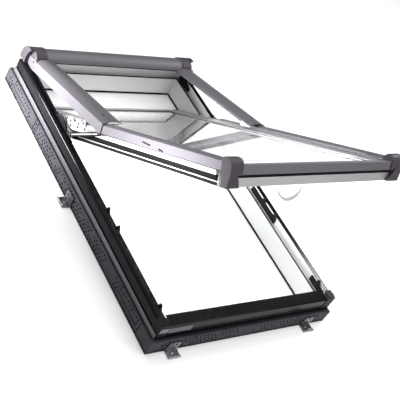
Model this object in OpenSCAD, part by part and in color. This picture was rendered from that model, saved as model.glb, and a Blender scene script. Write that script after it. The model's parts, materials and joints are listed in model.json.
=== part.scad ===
/* [Frame] */
// Outer width of the clad frame
frame_w = 740; // [600:1:1140]
// Outer length of the clad frame, up the roof
frame_l = 1180; // [980:1:1400]
// Height of the frame above the roof deck
frame_h = 116; // [112:1:124]
// Width of a frame profile at its foot
frame_foot = 40; // [36:1:48]
// Width of the frame above the rebate ledge
frame_head = 25; // [22:1:30]
// Height of the rebate ledge
ledge_z = 84; // [74:1:88]
// Thickness of the frame cladding
clad_t = 2; // [1:0.1:2.5]

/* [Insulation collar] */
// Width of the collar outside the frame
collar_w = 15; // [10:1:60]
// Height of the collar
collar_h = 55; // [30:1:60]

/* [Sash] */
// Opening angle of the sash as drawn
sash_open = 35.1; // [20:0.1:45]
// Distance of the sash pivot from the frame's top edge
pivot_drop = 338; // [300:1:400]
// Height of the sash pivot
pivot_z = 130; // [128:1:134]
// Running gap between the sash and the frame
sash_gap = 4; // [3:0.5:6]
// Width of the glazed rail of the sash
sash_rail = 56; // [50:1:66]
// Height of the sash's room side above the deck
sash_low = 74; // [66:1:80]
// Thickness of the sash cladding
sheet_t = 1.4; // [1:0.1:2]
// Width of the crowned side claddings of the sash
clad_w = 41; // [36:1:44]
// Rise of the sash's crowned claddings
sash_crown = 6; // [4:0.5:7]
// Thickness of one pane
pane_t = 4; // [3:1:6]
// Space between the panes
pane_space = 16; // [10:1:18]

/* [Hood and cover arms] */
// Radius of the hood
hood_r = 41; // [38:1:44]
// Wall of the hood
hood_t = 2; // [1.5:0.1:3]
// Length of a cover arm below its pin
arm_length = 488; // [400:1:490]
// Rise of the crowned cover arms
arm_crown = 9; // [7:0.5:12]
// Height of the side flange of a cover arm
flange_h = 36; // [24:1:36.5]
// Share of the sash's angle that the cover arms take
arm_share = 0.487; // [0.44:0.001:0.5]

/* [Hardware] */
// Diameter of the sash pin
sash_pin_d = 10; // [8:0.5:12]
// Diameter of the pins of the arms and stays
small_pin_d = 7; // [5:0.5:8]
// Radial running clearance of the pins
pin_clear = 0.06; // [0.03:0.01:0.1]
// Width of a stay
stay_w = 12; // [9:0.5:12]
// Diameter of the holes in the roof brackets
bracket_hole_d = 7; // [5:0.5:9]
// Distance from a side of the frame to the nearest end bracket's hole
bracket_inset = 80; // [60:1:160]
// Width of the bow handle between its feet
handle_w = 104; // [90:1:140]
// Reach of the bow handle from the sash
handle_reach = 50; // [40:1:60]

/* [Hidden] */
$fn = 48;

// Colours
white_pvc = "#e8e8e6";
black_sheet = "#1d1c20";
grey_sheet = "#7d7980";
dark_plastic = "#55505a";
light_strip = "#a9a6a9";
zinc = "#b9bcc0";
rubber = "#17161a";
foam = "#5f5c63";
glass = "#dfe9ea80";

// Half sizes of the frame and its openings
half_w = frame_w / 2;
half_l = frame_l / 2;
foot_x = half_w - frame_foot;      // inner face below the ledge
foot_y = half_l - frame_foot;
head_x = half_w - frame_head;      // rebate wall above the ledge
head_y = half_l - frame_head;
mitre = 60;                        // depth of a mitred corner, more than any profile's width
past = 5;                          // how far a cutting shape runs past what it cuts

// Lower corners of the frame
cap_reach = 34;                    // length of a corner cap along each side
cap_over = 1.5;                    // how far a corner cap stands out of the cladding
sill_lip_z = 75;                   // lower edge of the sill's front lip
clad_low = 64;                     // lower edge of the frame cladding
clad_round = 12;                   // rounded upper edge of the frame cladding

// Sash: every height and length is that of the closed sash
pivot_y = half_l - pivot_drop;
sash_x = foot_x - sash_gap;        // outer face of the sash's foot
wide_x = head_x - 9;               // outer face of the sash above the ledge
sash_top_y = foot_y - 5;
sash_bot_y = -(foot_y - sash_gap);
top_z = 154;                       // edge of the sash cladding when closed
bead_z = 145;                      // top of the glazing beads
glass_z = top_z - 14;              // outer face of the glazing
seat_z = glass_z - 2 * pane_t - pane_space;
wide_top_y = pivot_y - 7;          // upper end of the widened part of the sash
clad_x = head_x + 6.2;             // outer face of the side cladding
clad_step = clad_x - clad_w;       // inner edge of the side cladding
clad_in = clad_x - 81.2;           // inner edge of the beads beside the glass
clad_low_z = top_z - 28;           // lower edge of the side cladding
clad_bot_y = -(half_l - 2);
tier_y = -(half_l + 33);           // front face of the upper tier
strip_y = -(half_l + 21);          // front face of the lower strip
tier_x = clad_x - 31;              // half width of the tiers between the end caps
cap_out = clad_x + 15;             // outer face of the end caps
glass_top_y = sash_top_y - 82;     // upper edge of the visible glass
glass_edge = 22;                   // how far the glass runs under its cladding
glass_bot_y = tier_y + 17;
tier_back_y = tier_y + 26;
tier_low_z = frame_h + 6;          // lower edge of the upper tier
strip_high_z = frame_h - 1;        // upper edge of the lower strip

// Cover arms: heights and lengths are those of the closed cover
arm_pin_y = half_l - 62;
arm_pin_z = 148;
arm_angle = sash_open * arm_share;
arm_low_y = arm_pin_y - arm_length;
arm_edge_z = top_z + 0.2;
clad_top_y = arm_low_y - 8;        // the side cladding starts below the arm's end
return_top_y = clad_top_y - 36;    // the cladding's lower return starts below the stay's end
arm_x = clad_x + 2;                // outer face of the side flange
arm_in_x = clad_in + 7;            // inner edge of the strip
arm_t = 1.6;
arm_end_r = 80;                    // the rounded upper end of the side flange
arm_end_centre = [arm_pin_y - 26, arm_pin_z - 9];
arm_flare = 5;                     // rise of the flange's edge beside the hood
plate_cut_r = 63.5;                // the hood's end plate stops at this arc
arm_end_gap = 12;                  // the strip ends this far below the arm's pin
arm_lip = 8;                       // lip along the strip's inner edge
arm_plain = 50;                    // lower length of the strip that has no lip
arm_screw_d = 7;
arm_screw_x = (arm_in_x + arm_x) / 2 + 12;
arm_screw_y = arm_low_y + 48;

// Hood
hood_y = half_l - 33;
hood_z = frame_h + 20;
hood_front_z = hood_z + 19;        // height of the hood's front edge
sleeve_r = hood_r + 4;             // radius of the end sleeves and plates
sleeve_front_z = hood_z + 30;
sleeve_in = head_x - 40;
sleeve_out = clad_x - 0.4;
plate_in = arm_x + 1.2;
plate_out = plate_in + 12;

// Stays
stay_y = pivot_y - 64;
stay_z = pivot_z - 2;
stay_in = head_x + 0.3;
stay_t = 3.5;
stud = [pivot_y - 230.1, pivot_z - 6.5];   // the stay's stud on the closed sash
stud_open = turned(stud, [pivot_y, pivot_z], sash_open);
stay_l = norm(stud_open - [stay_y, stay_z]);
stay_angle = atan2(stud_open[1] - stay_z, stay_y - stud_open[0]);

// A point of the (y, z) plane turned up about a pivot
function turned(p, c, a) = c + [
    (p[0] - c[0]) * cos(a) + (p[1] - c[1]) * sin(a),
    -(p[0] - c[0]) * sin(a) + (p[1] - c[1]) * cos(a)
];
// Lower edge of an arm's flange beyond its pin, which clears the frame when the arm is lifted
function flange_over_frame(d) =
    arm_pin_z + (d * sin(arm_angle) - (arm_pin_z - frame_h - 1.5)) / cos(arm_angle);
// Height of a crowned strip above its edges
function rise(x, lo, hi, crown) = crown * (1 - pow((2 * x - lo - hi) / (hi - lo), 2));
function crown_points(lo, hi, z, crown, steps = 16) =
    [for (i = [0:steps]) let (x = lo + (hi - lo) * i / steps) [x, z + rise(x, lo, hi, crown)]];
function backwards(list) = [for (i = [len(list) - 1:-1:0]) list[i]];

// Turns closed pieces to the drawn angle
module open_sash() {
    translate([0, pivot_y, pivot_z]) rotate([-sash_open, 0, 0]) translate([0, -pivot_y, -pivot_z]) children();
}
module open_arms() {
    translate([0, arm_pin_y, arm_pin_z]) rotate([-arm_angle, 0, 0])
        translate([0, -arm_pin_y, -arm_pin_z]) children();
}

// Both sides from the right-hand piece
module side(s) {
    if (s > 0) children();
    else mirror([1, 0, 0]) children();
}
// A section in (x, z) run along Y
module along_y(y0, y1) {
    translate([0, y1, 0]) rotate([90, 0, 0]) linear_extrude(y1 - y0) children();
}
// A section in (y, z) run along X
module along_x(x0, x1) {
    translate([x0, 0, 0]) rotate([90, 0, 90]) linear_extrude(x1 - x0) children();
}
module box(lo, hi) {
    translate(lo) cube(hi - lo);
}
// Pin along X between two places
module pin_x(x0, x1, y, z, d) {
    translate([x0, y, z]) rotate([0, 90, 0]) cylinder(h = x1 - x0, d = d);
}

// Room for a mitred right-hand side, and for a mitred upper or lower bar
module side_room(x, y0, y1, z0, z1) {
    translate([0, 0, z0]) linear_extrude(z1 - z0)
        polygon([[x, y0], [x, y1], [x - mitre, y1 - mitre], [x - mitre, y0 + mitre]]);
}
module end_room(x, y, s, z0, z1) {
    translate([0, 0, z0]) linear_extrude(z1 - z0)
        polygon([[-x, y], [x, y], [x - mitre, y - s * mitre], [-x + mitre, y - s * mitre]]);
}

// Insulation collar
collar_section = [
    [0, 0], [collar_w, 0], [collar_w, collar_h - 4], [collar_w - 4, collar_h], [0, collar_h]
];
module collar_side(s) {
    color(foam) side(s) translate([half_w, 0, 0])
        along_y(-half_l - collar_w, half_l + collar_w) polygon(collar_section);
}
module collar_end(s) {
    color(foam) mirror([0, s > 0 ? 0 : 1, 0]) translate([0, half_l, 0])
        along_x(-half_w, half_w) polygon(collar_section);
}

// Frame profiles, measured inwards from the cladding's outer face
frame_section = [
    [0, 0], [frame_foot, 0], [frame_foot, ledge_z], [frame_head, ledge_z],
    [frame_head, frame_h - clad_t], [clad_round, frame_h - clad_t],
    [clad_t + 3, frame_h - clad_t - 3], [clad_t, frame_h - clad_round], [clad_t, clad_low], [0, clad_low]
];
sill_section = [
    [0, 0], [frame_foot, 0], [frame_foot, frame_h - 6], [frame_foot - 3, frame_h - 4],
    [clad_t + 3, frame_h - 9], [clad_t, frame_h - 12], [clad_t, clad_low], [0, clad_low]
];
module frame_side(s) {
    color(white_pvc) side(s) intersection() {
        translate([half_w, 0, 0]) mirror([1, 0, 0]) along_y(-half_l, half_l) polygon(frame_section);
        side_room(half_w, -half_l, half_l, 0, frame_h);
    }
}
module frame_end(s) {
    section = s > 0 ? frame_section : sill_section;
    color(white_pvc) intersection() {
        translate([0, s * half_l, 0]) mirror([0, s > 0 ? 1 : 0, 0]) along_x(-half_w, half_w) polygon(section);
        end_room(half_w, s * half_l, s, 0, frame_h);
    }
}

// Frame cladding with a rounded upper edge and a drip lip
module clad_section() {
    difference() {
        union() {
            translate([clad_round, frame_h - clad_round]) circle(r = clad_round);
            translate([0, clad_low]) square([frame_head, frame_h - clad_low - clad_round]);
            translate([clad_round, frame_h - clad_round]) square([frame_head - clad_round, clad_round]);
        }
        translate([clad_round, frame_h - clad_round]) circle(r = clad_round - clad_t);
        translate([clad_t, clad_low - past]) square([frame_head, frame_h - clad_low - clad_round + past]);
        translate([clad_round, 0]) square([frame_head, frame_h - clad_t]);
    }
    translate([-3, clad_low]) square([3 + clad_t, 2]);
}
module frame_clad_side(s) {
    color(black_sheet) side(s) {
        intersection() {
            translate([half_w, 0, 0]) mirror([1, 0, 0])
                along_y(-half_l + cap_reach, half_l + past) clad_section();
            side_room(half_w + past, -half_l - past, half_l + past, 0, frame_h);
        }
        // upstand beside the cover arm
        box([head_x, pivot_y + 46, frame_h - 1], [head_x + clad_t, arm_pin_y - 16, frame_h + 8]);
    }
}
module frame_clad_top() {
    color(black_sheet) intersection() {
        translate([0, half_l, 0]) mirror([0, 1, 0]) along_x(-half_w - past, half_w + past) clad_section();
        end_room(half_w + past, half_l + past, 1, 0, frame_h);
    }
}
module sill_clad() {
    reach = half_w - cap_reach;
    color(black_sheet) translate([0, -half_l, 0]) along_x(-reach, reach) polygon([
        [0, sill_lip_z], [clad_t, sill_lip_z], [clad_t, frame_h - 12], [clad_t + 3, frame_h - 9],
        [frame_foot - 3, frame_h - 4], [frame_foot, frame_h - 6], [frame_foot + 1.5, frame_h - 4.5],
        [frame_foot - 2, frame_h - 2], [clad_t + 1, frame_h - 7], [0, frame_h - 10]
    ]);
}
module corner_cap(s) {
    color(rubber) side(s) difference() {
        union() {
            box([half_w - cap_reach, -half_l - cap_over, clad_low],
                [half_w + cap_over, -half_l + cap_reach, frame_h + 1]);
            translate([half_w - 14, -half_l + 14, clad_low]) cylinder(r = 15.5, h = frame_h + 3 - clad_low);
        }
        box([0, -half_l + clad_t, 0], [half_w - clad_t, half_l, frame_h - clad_t]);
        box([0, -half_l + frame_head, 0], [half_w - frame_head, half_l, frame_h + past]);
    }
}
module frame_gasket() {
    bead = 3;
    low_y = -foot_y;
    color(rubber) difference() {
        box([-foot_x - bead, low_y, ledge_z], [foot_x + bead, foot_y + bead, ledge_z + 4]);
        box([-foot_x, low_y - past, ledge_z - 1], [foot_x, foot_y, ledge_z + past]);
    }
}

// Hood: a half-round cover with sleeves and end plates
module hood_outline(r) {
    translate([hood_y, hood_z]) circle(r = r, $fn = 96);
    translate([hood_y, frame_h]) square([r, hood_z - frame_h]);
}
module hood_shell(r, t, front_z) {
    difference() {
        hood_outline(r);
        translate([hood_y, hood_z]) circle(r = r - t, $fn = 96);
        translate([hood_y - 1, frame_h - past]) square([r - t + 1, hood_z - frame_h + past]);
        translate([hood_y - r - past, frame_h - past]) square([r + past, front_z - frame_h + past]);
        translate([0, -past]) square([frame_l, frame_h + past]);
    }
}
module hood() {
    reach = sleeve_out - 5;
    color(grey_sheet) along_x(-reach, reach) hood_shell(hood_r, hood_t, hood_front_z);
}
module hood_cap(s) {
    color(dark_plastic) side(s) {
        along_x(sleeve_in, sleeve_out) hood_shell(sleeve_r, sleeve_r - hood_r - 1.2, sleeve_front_z);
        along_x(sleeve_in, sleeve_in + 3) hood_shell(sleeve_r, sleeve_r - hood_r - 0.2, sleeve_front_z);
    }
}
// Crescent round the upper end of a cover arm, with a foot on the sleeve
module hood_plate(s) {
    foot = 11;
    color(dark_plastic) side(s) {
        along_x(plate_in, plate_out) difference() {
            hood_outline(sleeve_r);
            translate(arm_end_centre) circle(r = plate_cut_r, $fn = 96);
            translate([0, -past]) square([frame_l, frame_h + past]);
        }
        along_x(sleeve_out, plate_in) difference() {
            hood_outline(sleeve_r);
            translate([0, -past]) square([frame_l, frame_h + past]);
            translate([0, frame_h - past]) square([hood_y + sleeve_r - foot, 2 * sleeve_r + past]);
        }
    }
}

// Frame hardware
module frame_hinge(s) {
    plate_t = 3;
    x = head_x - plate_t;
    color(zinc) side(s) {
        along_x(x, head_x) difference() {
            union() {
                translate([pivot_y, pivot_z]) circle(r = 15);
                translate([stay_y, stay_z]) circle(r = 12);
                translate([stay_y, ledge_z + 6]) square([pivot_y - stay_y, pivot_z - ledge_z]);
                translate([stay_y - 24, ledge_z + 6]) square([pivot_y - stay_y + 62, 26]);
            }
            for (y = [stay_y - 16, pivot_y + 28]) translate([y, ledge_z + 18]) circle(d = 5);
        }
        pin_x(wide_x + 0.3, x + 1, pivot_y, pivot_z, sash_pin_d);
        pin_x(head_x - 1, stay_in + stay_t + 0.6, stay_y, stay_z, small_pin_d);
    }
}
module arm_bracket(s) {
    inner = head_x + 0.2;
    outer = sleeve_out - 1.2;
    color(rubber) side(s) {
        along_x(inner, outer) hull() {
            translate([arm_pin_y, arm_pin_z]) circle(r = 9);
            translate([arm_pin_y - 14, frame_h]) square([42, 4]);
        }
        along_x(head_x - 8, head_x) polygon([
            [arm_pin_y - 58, ledge_z + 6], [arm_pin_y + 20, ledge_z + 6], [arm_pin_y + 20, frame_h],
            [arm_pin_y - 14, frame_h], [arm_pin_y - 58, ledge_z + 18]
        ]);
        box([head_x - 8, arm_pin_y - 14, frame_h], [outer, arm_pin_y + 20, frame_h + 4]);
        pin_x(outer - 1, arm_x + 1, arm_pin_y, arm_pin_z, small_pin_d);
    }
}
// A keeper strip with its hooks
module keeper(y0, y1, hooks) {
    x = head_x - 6;
    box([x, y0, ledge_z + 6], [head_x, y1, ledge_z + 25]);
    for (y = hooks) along_x(x, head_x - 1) hull() {
        translate([y - 12, ledge_z + 20]) square([24, 4]);
        translate([y + 2, ledge_z + 36]) circle(r = 5);
    }
}
module keepers() {
    color(rubber) for (s = [-1, 1]) side(s) {
        keeper(-229, -60, [-138, -215]);
        keeper(-head_y + 8, -482, [-521]);
    }
}

// Galvanised roof bracket: drawn at the lower edge, its foot on the deck
bracket_w = 46;
bracket_foot = 28;
bracket_t = 3;
hole_out = 14;                     // distance of a bracket's hole from the collar
hole_y = half_l + collar_w + hole_out;
hole_x = half_w - bracket_inset;
module bracket_shape() {
    wall = half_l + collar_w;
    difference() {
        union() {
            box([-bracket_w / 2, -wall - bracket_foot, 0], [bracket_w / 2, -wall, bracket_t]);
            box([-bracket_w / 2, -wall - bracket_t, 0], [bracket_w / 2, -wall, 40]);
            along_x(-bracket_w / 2, bracket_w / 2) translate([-wall - bracket_foot, 4]) difference() {
                circle(r = 4);
                circle(r = 1.5);
                square([past, past]);
            }
        }
        translate([0, -hole_y, -past]) cylinder(d = bracket_hole_d, h = 2 * past + bracket_t);
        for (x = [-13, 13]) translate([x, -wall, 28]) rotate([90, 0, 0])
            translate([0, 0, -past]) cylinder(d = 6, h = 2 * past + bracket_t);
    }
}
module bracket_at(place) {
    if (place == "bottom_left") translate([-hole_x, 0, 0]) children();
    else if (place == "bottom_right") translate([hole_x, 0, 0]) children();
    else if (place == "top_left") translate([-hole_x, 0, 0]) rotate([0, 0, 180]) children();
    else if (place == "top_right") translate([hole_x, 0, 0]) rotate([0, 0, 180]) children();
    else if (place == "left") translate([-half_w + half_l, 0, 0]) rotate([0, 0, -90]) children();
    else translate([half_w - half_l, 0, 0]) rotate([0, 0, 90]) children();
}
module roof_bracket(place) {
    color(zinc) bracket_at(place) bracket_shape();
}
module bracket_screws() {
    wall = half_l + collar_w;
    color(zinc) for (place = ["bottom_left", "bottom_right", "top_left", "top_right", "left", "right"])
        bracket_at(place) for (x = [-13, 13])
            translate([x, -wall - bracket_t, 28]) rotate([90, 0, 0]) cylinder(d = 11, h = 2.5);
}

// Sash profiles
sash_section = [
    [0, sash_low], [sash_rail, sash_low], [sash_rail, seat_z - 8], [sash_rail - 6, seat_z],
    [glass_edge, seat_z], [glass_edge, glass_z - 1.5], [0, glass_z - 1.5]
];
// The lower profile passes under the outer pane
sash_low_section = [
    [0, sash_low], [sash_rail, sash_low], [sash_rail, seat_z - 8], [sash_rail - 6, seat_z],
    [glass_edge, seat_z], [glass_edge, glass_z - pane_t], [0, glass_z - pane_t]
];
module sash_side(s) {
    color(white_pvc) side(s) {
        intersection() {
            translate([sash_x, 0, 0]) mirror([1, 0, 0]) along_y(sash_bot_y, sash_top_y) polygon(sash_section);
            side_room(sash_x, sash_bot_y, sash_top_y, 0, frame_h + mitre);
        }
        box([sash_x - 1, sash_bot_y + 2, frame_h - 8], [wide_x, wide_top_y, clad_low_z + 10]);
    }
}
module sash_end(s) {
    y = s > 0 ? sash_top_y : sash_bot_y;
    section = s > 0 ? sash_section : sash_low_section;
    color(white_pvc) intersection() {
        translate([0, y, 0]) mirror([0, s > 0 ? 1 : 0, 0]) along_x(-sash_x, sash_x) polygon(section);
        end_room(sash_x, y, s, 0, frame_h + mitre);
    }
}
// Crowned cladding of one side, its inner wall on the profile
module sash_clad(s) {
    lo = clad_step;
    hi = clad_x;
    outer = crown_points(lo, hi, top_z, sash_crown);
    inner = backwards(crown_points(lo + sheet_t, hi - sheet_t, top_z - sheet_t, sash_crown));
    color(grey_sheet) side(s) {
        along_y(clad_bot_y, clad_top_y) polygon(concat(
            [[hi, clad_low_z]], backwards(outer), [[lo, glass_z - 1.5], [lo + sheet_t, glass_z - 1.5]],
            backwards(inner), [[hi - sheet_t, clad_low_z]]
        ));
        box([wide_x + 8, clad_bot_y, clad_low_z], [hi - sheet_t / 2, return_top_y, clad_low_z + sheet_t]);
    }
}
module sash_clad_top() {
    color(light_strip) along_x(-sash_x, sash_x) polygon([
        [glass_top_y, glass_z + 1], [glass_top_y, bead_z - 1], [glass_top_y + 2, bead_z],
        [sash_top_y, bead_z], [sash_top_y, glass_z - 1.5], [sash_top_y - glass_edge + 2, glass_z - 1.5],
        [sash_top_y - glass_edge + 2, glass_z + 1]
    ]);
}
module bead_section(outer) {
    foot = sash_x - glass_edge + 2;
    polygon([
        [clad_in, glass_z + 1], [clad_in, bead_z - 1], [clad_in + 2, bead_z], [outer, bead_z],
        [outer, glass_z - 1.5], [foot, glass_z - 1.5], [foot, glass_z + 1]
    ]);
}
module sash_bead(s) {
    color(light_strip) side(s) {
        along_y(clad_top_y + 1, glass_top_y) bead_section(sash_x);
        along_y(tier_back_y + 0.5, clad_top_y + 2) bead_section(clad_step - 0.3);
    }
}
// Two tiers across the lower edge
module front_clad() {
    color(grey_sheet) along_x(-tier_x, tier_x) polygon([
        [tier_back_y, glass_z + 1], [tier_back_y, glass_z + 9], [tier_y + 4, top_z - 4],
        [tier_y, top_z - 6], [tier_y + 3, tier_low_z], [tier_y + 16, tier_low_z], [tier_y + 16, glass_z + 1]
    ]);
}
module front_strip() {
    face = strip_y - 1;
    color(light_strip) along_x(-tier_x, tier_x) polygon([
        [face, strip_high_z - 3], [face + 6, frame_h - 30], [face + 8, frame_h - 30],
        [face + 8, strip_high_z - 4], [face + 14, strip_high_z - 4], [face + 14, strip_high_z],
        [face, strip_high_z]
    ]);
}
// Rounded end cap of the lower edge, hollow towards the sash
module end_cap_outline(inset) {
    offset(delta = -inset) difference() {
        union() {
            translate([tier_y + 17, top_z - 6]) circle(r = 23, $fn = 64);
            polygon([
                [tier_y + 17, top_z + 17], [clad_bot_y, top_z + 12], [clad_bot_y, clad_low_z - 6],
                [-half_l - 6, clad_low_z - 6], [-half_l - 6, top_z - 66], [tier_y + 12, top_z - 70],
                [tier_y - 6, top_z - 8]
            ]);
        }
        translate([clad_bot_y - 0.5, top_z - mitre]) square(2 * mitre);
    }
}
module end_cap(s) {
    color(dark_plastic) side(s) difference() {
        along_x(tier_x + 0.5, cap_out) end_cap_outline(0);
        along_x(tier_x - past, cap_out - 3) end_cap_outline(3);
    }
}

// Glazing
pane_x = sash_x - glass_edge - 1;
pane_top = sash_top_y - glass_edge - 1;
module pane(z) {
    box([-pane_x, glass_bot_y, z], [pane_x, pane_top, z + pane_t]);
}
module outer_pane() {
    color(glass) pane(glass_z - pane_t);
}
module inner_pane() {
    step = 24;
    color(glass) box([-pane_x, sash_bot_y + step, seat_z], [pane_x, pane_top, seat_z + pane_t]);
}
module pane_spacer() {
    wide = 12;
    low = sash_bot_y + 26;
    color(zinc) difference() {
        box([-pane_x + 2, low, seat_z + pane_t], [pane_x - 2, pane_top - 2, glass_z - pane_t]);
        box([-pane_x + wide, low + wide, 0], [pane_x - wide, pane_top - wide, frame_h + mitre]);
    }
}
module glazing_gasket() {
    bead = 4;
    color(rubber) difference() {
        box([-clad_in, glass_bot_y + 2, glass_z], [clad_in, glass_top_y, glass_z + 1]);
        box([-clad_in + bead, glass_bot_y + 2 + bead, 0],
            [clad_in - bead, glass_top_y - bead, frame_h + mitre]);
    }
}

// Stepped seal under the widened sides
module sash_seal(s) {
    color(rubber) side(s) along_y(sash_bot_y + 2, wide_top_y) polygon([
        [sash_x, ledge_z + 6], [sash_x + 4, ledge_z + 6], [sash_x + 4, ledge_z + 11],
        [sash_x + 2, ledge_z + 12], [sash_x + 7, ledge_z + 15], [sash_x + 7, ledge_z + 18],
        [sash_x + 5, ledge_z + 19], [wide_x - 0.5, ledge_z + 20], [wide_x - 0.5, frame_h - 8],
        [sash_x, frame_h - 8]
    ]);
}
// Slotted hinge plate of the sash
module sash_hinge(s) {
    plate_t = 3.5;
    slot_d = 6;
    tongue = 12;
    color(white_pvc) side(s) along_x(wide_x, wide_x + plate_t) difference() {
        union() {
            translate([pivot_y, pivot_z]) circle(r = 14);
            polygon([
                [pivot_y + 6, pivot_z + 12], [pivot_y - 30, top_z - 3], [pivot_y - 130, top_z - 3],
                [pivot_y - 136, pivot_z - 14], [pivot_y, pivot_z - 14]
            ]);
            translate([stud[0] - 22, stud[1] - tongue / 2]) square([pivot_y - 134 - stud[0] + 22, tongue]);
        }
        translate([pivot_y, pivot_z]) circle(d = sash_pin_d + 2 * pin_clear);
        for (c = [[-46, 8], [-70, 12], [-96, 6]]) hull() {
            translate([pivot_y + c[0], pivot_z + c[1]]) circle(d = slot_d);
            translate([pivot_y + c[0] + 9, pivot_z + c[1] - 3]) circle(d = slot_d);
        }
        hull() for (y = [-14, 14]) translate([stud[0] + y, stud[1]]) circle(d = slot_d);
        for (y = [-36, -60, -106]) translate([pivot_y + y, pivot_z - 6]) circle(d = 4);
    }
}

// Cover arms
module arm(s) {
    lo = arm_in_x;
    hi = arm_x;
    upper = crown_points(lo, hi, arm_edge_z, arm_crown);
    under = backwards(crown_points(lo + arm_t, hi - arm_t, arm_edge_z - arm_t, arm_crown));
    low_z = arm_edge_z - flange_h;
    color(grey_sheet) side(s) difference() {
        union() {
            along_y(arm_low_y, arm_pin_y - arm_end_gap) polygon(concat(
                [[hi, low_z]], backwards(upper),
                [[lo, arm_edge_z - arm_lip], [lo + arm_t, arm_edge_z - arm_lip]],
                backwards(under), [[hi - arm_t, low_z]]
            ));
            along_x(hi - arm_t, hi) hull() {
                translate([arm_pin_y, arm_pin_z]) circle(r = 8);
                translate([arm_pin_y - arm_end_gap - 6, low_z]) square([4, flange_h - 2]);
            }
            along_x(hi - arm_t, hi) intersection() {
                translate(arm_end_centre) circle(r = arm_end_r, $fn = 96);
                polygon(concat(
                    [for (d = [-arm_end_gap - 4, 4, arm_end_r])
                        [arm_pin_y + d, max(low_z, flange_over_frame(d))]],
                    [for (d = [arm_end_r, -arm_end_gap - 4]) [arm_pin_y + d, arm_edge_z + arm_flare]]
                ));
            }
        }
        pin_x(hi - past, hi + past, arm_pin_y, arm_pin_z, small_pin_d + 2 * pin_clear);
        box([lo - 1, arm_low_y - 1, low_z], [lo + arm_t + 1, arm_low_y + arm_plain, arm_edge_z - arm_t]);
        translate([arm_screw_x, arm_screw_y, arm_edge_z]) cylinder(d = arm_screw_d + 0.4, h = 2 * arm_crown);
    }
}
module arm_screws() {
    z = arm_edge_z + rise(arm_screw_x, arm_in_x, arm_x, arm_crown);
    color(rubber) for (s = [-1, 1]) side(s) translate([arm_screw_x, arm_screw_y, z - 0.3])
        cylinder(d = arm_screw_d, h = 1.8);
}

// Stay bar from the frame hinge to the sash
module stay(s) {
    color(zinc) side(s) translate([0, stay_y, stay_z]) rotate([-stay_angle, 0, 0]) difference() {
        union() {
            along_x(stay_in, stay_in + stay_t) {
                circle(d = stay_w);
                translate([-stay_l, -stay_w / 2]) square([stay_l, stay_w]);
                translate([-stay_l, 0]) circle(d = stay_w);
            }
            pin_x(wide_x + 4, stay_in + 1, -stay_l, 0, small_pin_d);
        }
        pin_x(stay_in - past, stay_in + stay_t + past, 0, 0, small_pin_d + 2 * pin_clear);
    }
}

// Bow handle and its feet
grip_y = -(foot_y - 52);
grip_d = 12;
foot_z = sash_low;
axle_z = foot_z - 10.5;
module handle_base() {
    color(white_pvc) for (s = [-1, 1]) side(s) difference() {
        union() {
            box([handle_w / 2 + 1, grip_y - 12, foot_z - 4],
                [handle_w / 2 + 15, grip_y + 12, foot_z]);
            along_x(handle_w / 2 + 8, handle_w / 2 + 13) {
                translate([grip_y, axle_z]) circle(r = 6);
                translate([grip_y - 6, axle_z]) square([12, foot_z - axle_z]);
            }
        }
        pin_x(handle_w / 2, handle_w / 2 + 11, grip_y, axle_z, 5 + 2 * pin_clear);
    }
}
module handle() {
    half = handle_w / 2;
    bow_r = (half * half + handle_reach * handle_reach) / (2 * handle_reach) + 4;
    lift = axle_z - handle_reach + bow_r;
    color(white_pvc) {
        intersection() {
            translate([0, grip_y, lift]) rotate([90, 0, 0]) rotate_extrude($fn = 96)
                translate([bow_r, 0]) circle(d = grip_d);
            box([-half, grip_y - grip_d, axle_z - handle_reach - grip_d],
                [half, grip_y + grip_d, axle_z - 4]);
        }
        for (s = [-1, 1]) side(s) {
            pin_x(half - 8, half + 7.4, grip_y, axle_z, grip_d - 1);
            pin_x(half + 7, half + 10.8, grip_y, axle_z, 5);
        }
    }
}

collar_side(-1);  // collar_left
collar_side(1);  // collar_right
collar_end(1);  // collar_top
collar_end(-1);  // collar_bottom
frame_side(-1);  // frame_left
frame_side(1);  // frame_right
frame_end(1);  // frame_top
frame_end(-1);  // frame_bottom
frame_clad_side(-1);  // frame_clad_left
frame_clad_side(1);  // frame_clad_right
frame_clad_top();
sill_clad();
corner_cap(-1);  // corner_cap_left
corner_cap(1);  // corner_cap_right
frame_gasket();
hood();
hood_cap(-1);  // hood_cap_left
hood_cap(1);  // hood_cap_right
hood_plate(-1);  // hood_plate_left
hood_plate(1);  // hood_plate_right
frame_hinge(-1);  // frame_hinge_left
frame_hinge(1);  // frame_hinge_right
arm_bracket(-1);  // arm_bracket_left
arm_bracket(1);  // arm_bracket_right
keepers();
roof_bracket("bottom_left");  // roof_bracket_bottom_left
roof_bracket("bottom_right");  // roof_bracket_bottom_right
roof_bracket("top_left");  // roof_bracket_top_left
roof_bracket("top_right");  // roof_bracket_top_right
roof_bracket("left");  // roof_bracket_left
roof_bracket("right");  // roof_bracket_right
bracket_screws();
open_sash() sash_side(-1);  // sash_left
open_sash() sash_side(1);  // sash_right
open_sash() sash_end(1);  // sash_top
open_sash() sash_end(-1);  // sash_bottom
open_sash() sash_clad(-1);  // sash_clad_left
open_sash() sash_clad(1);  // sash_clad_right
open_sash() sash_clad_top();
open_sash() sash_bead(-1);  // sash_bead_left
open_sash() sash_bead(1);  // sash_bead_right
open_sash() front_clad();
open_sash() front_strip();
open_sash() end_cap(-1);  // end_cap_left
open_sash() end_cap(1);  // end_cap_right
open_sash() outer_pane();
open_sash() inner_pane();
open_sash() pane_spacer();
open_sash() glazing_gasket();
open_sash() sash_seal(-1);  // sash_seal_left
open_sash() sash_seal(1);  // sash_seal_right
open_sash() sash_hinge(-1);  // sash_hinge_left
open_sash() sash_hinge(1);  // sash_hinge_right
open_sash() handle_base();
open_arms() arm(-1);  // arm_left
open_arms() arm(1);  // arm_right
open_arms() arm_screws();
stay(-1);  // stay_left
stay(1);  // stay_right
open_sash() handle();
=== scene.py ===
import json
import math
import random

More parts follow.
